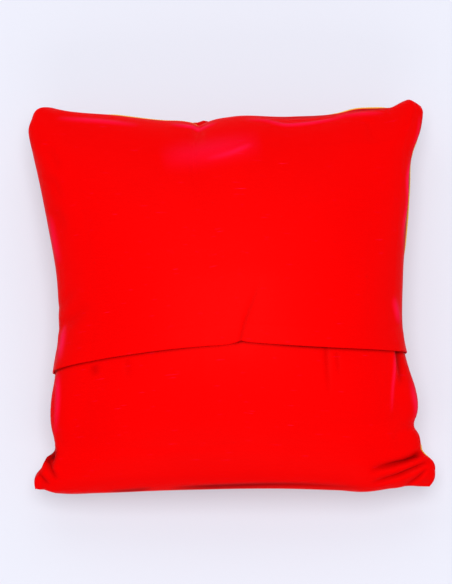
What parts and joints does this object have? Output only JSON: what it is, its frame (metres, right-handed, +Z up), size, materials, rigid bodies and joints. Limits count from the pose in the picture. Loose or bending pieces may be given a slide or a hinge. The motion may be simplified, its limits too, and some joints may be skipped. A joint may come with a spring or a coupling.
{
  "type": "filled square cushion cover",
  "caption": "Filled square cushion cover in plain cotton, lying face down, with an envelope back, a hemmed flap and a thin contrasting cord in the seam.",
  "frame": {"origin": "on the floor, under the middle of the cushion's outline", "axes": "+X to the right of the shown back face, +Y towards the cushion's top edge, +Z up out of the shown face, through the cushion's thickness"},
  "size_m": [0.3982, 0.39, 0.1279],
  "materials": {
    "front_cotton": "plain woven cotton, matt",
    "back_cotton": "plain woven cotton, matt, faint slubs",
    "edging_cord": "thin twisted yellow cotton cord"
  },
  "bodies": {
    "root": {"filled_front": "front_cotton", "lower_back_panel": "back_cotton", "upper_back_panel": "back_cotton", "seam_edging": "edging_cord"}
  },
  "joints": []
}
